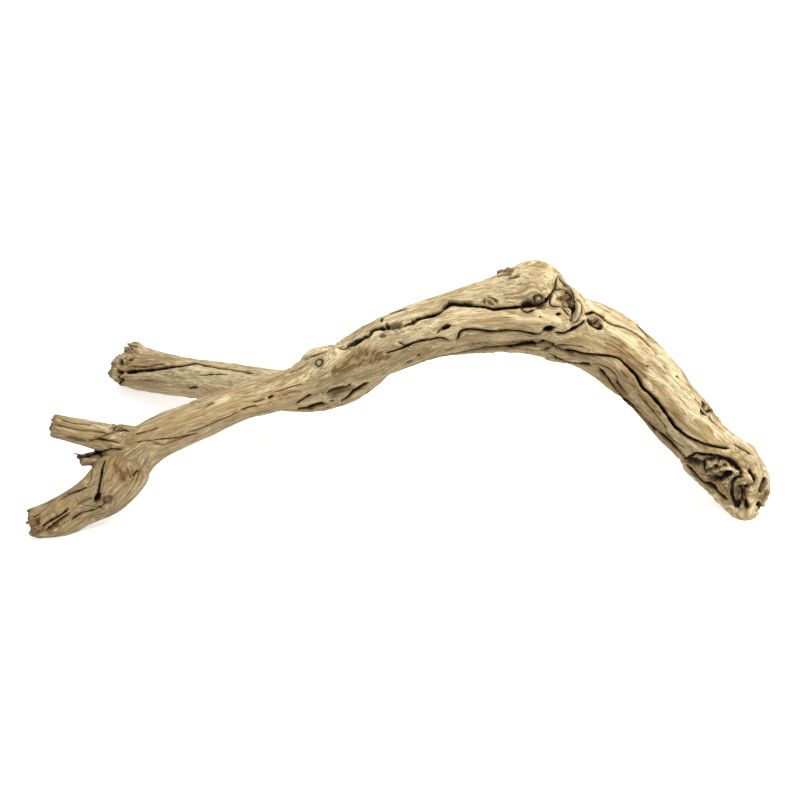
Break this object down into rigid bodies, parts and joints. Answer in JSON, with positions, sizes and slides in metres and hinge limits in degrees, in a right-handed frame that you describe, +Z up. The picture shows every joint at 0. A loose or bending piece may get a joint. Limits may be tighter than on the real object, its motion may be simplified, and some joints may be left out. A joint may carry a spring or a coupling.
{
  "type": "piece of driftwood",
  "caption": "Forked, arched piece of bleached driftwood with splits, knots and a gnarled burl, standing on three low ends.",
  "frame": {"origin": "middle of the bounding box in plan, on the surface that the three low ends stand on", "axes": "+X from the forked end to the burl, +Y away from the side that the picture shows, +Z up"},
  "size_m": [0.6245, 0.2827, 0.2108],
  "materials": {
    "bleached_wood": "bare, bleached and weathered"
  },
  "bodies": {
    "root": {"driftwood": "bleached_wood"}
  },
  "joints": []
}
